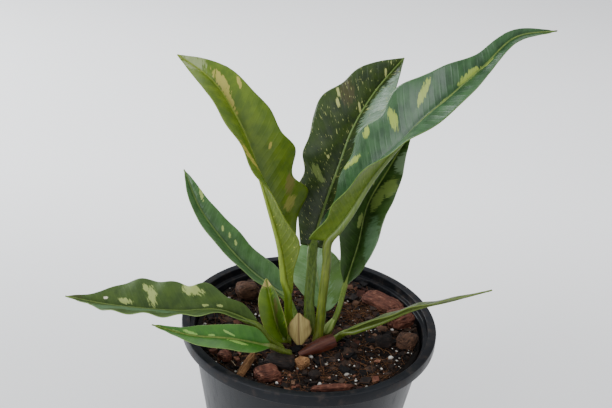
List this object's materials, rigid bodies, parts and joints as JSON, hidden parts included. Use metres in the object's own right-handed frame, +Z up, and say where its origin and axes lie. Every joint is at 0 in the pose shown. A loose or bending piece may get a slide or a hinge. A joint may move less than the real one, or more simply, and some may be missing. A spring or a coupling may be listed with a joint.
{
  "type": "potted philodendron",
  "caption": "Young philodendron with long folded, cream-flecked leaves, growing from bark mix in a round black nursery pot.",
  "frame": {"origin": "centre of the nursery pot's flat base, on the surface it stands on", "axes": "+Z up along the pot's axis; +X to the right and -Y towards the side the plant is seen from"},
  "size_m": [0.2815, 0.165, 0.3483],
  "materials": {
    "pot_plastic": "near-black moulded plastic, satin",
    "potting_mix": "dark fibrous bark and coir mix, matt",
    "stem": "brown corky crown and pale roots",
    "leaf_yellow_green": "waxy yellow-green leaf with cream patches",
    "leaf_dark_green": "waxy dark olive leaf flecked with cream",
    "leaf_blue_green": "glossy blue-green leaf with lime patches",
    "leaf_mid_green": "waxy mid-green leaf with lime patches",
    "sheath_cream": "papery cream sheath with brown streaks",
    "sheath_brown": "dried red-brown sheath, polished",
    "sheath_green": "fresh pale green bud",
    "bark_brown": "rough brown bark",
    "bark_red": "flaky red-brown bark",
    "bark_dark": "dark wet bark",
    "wood_pale": "pale splintered wood"
  },
  "bodies": {
    "root": {"nursery_pot": "pot_plastic", "potting_mix": "potting_mix", "stem_with_roots": "stem", "leaf_tall_left": "leaf_yellow_green", "leaf_tall_back": "leaf_dark_green", "leaf_tall_right": "leaf_blue_green", "leaf_back_right": "leaf_dark_green", "leaf_back_short": "leaf_blue_green", "leaf_back_left": "leaf_mid_green", "leaf_low_left": "leaf_mid_green", "leaf_low_front": "leaf_mid_green", "leaf_small_cupped": "leaf_yellow_green", "leaf_low_right": "leaf_mid_green", "sheath_cream": "sheath_cream", "sheath_brown": "sheath_brown", "sheath_bud": "sheath_green", "bark_round_nugget": "bark_brown", "bark_flat_red": "bark_red", "bark_shaggy_red": "bark_red", "bark_dark_right": "bark_dark", "bark_wedge": "bark_brown", "bark_small_nugget": "bark_brown", "bark_front_dark": "bark_dark", "bark_front_tan": "wood_pale", "bark_front_red": "bark_red", "bark_splinter": "wood_pale", "bark_front_nugget": "bark_dark", "bark_rim_strip": "bark_red", "bark_left_chip": "bark_red"}
  },
  "joints": []
}
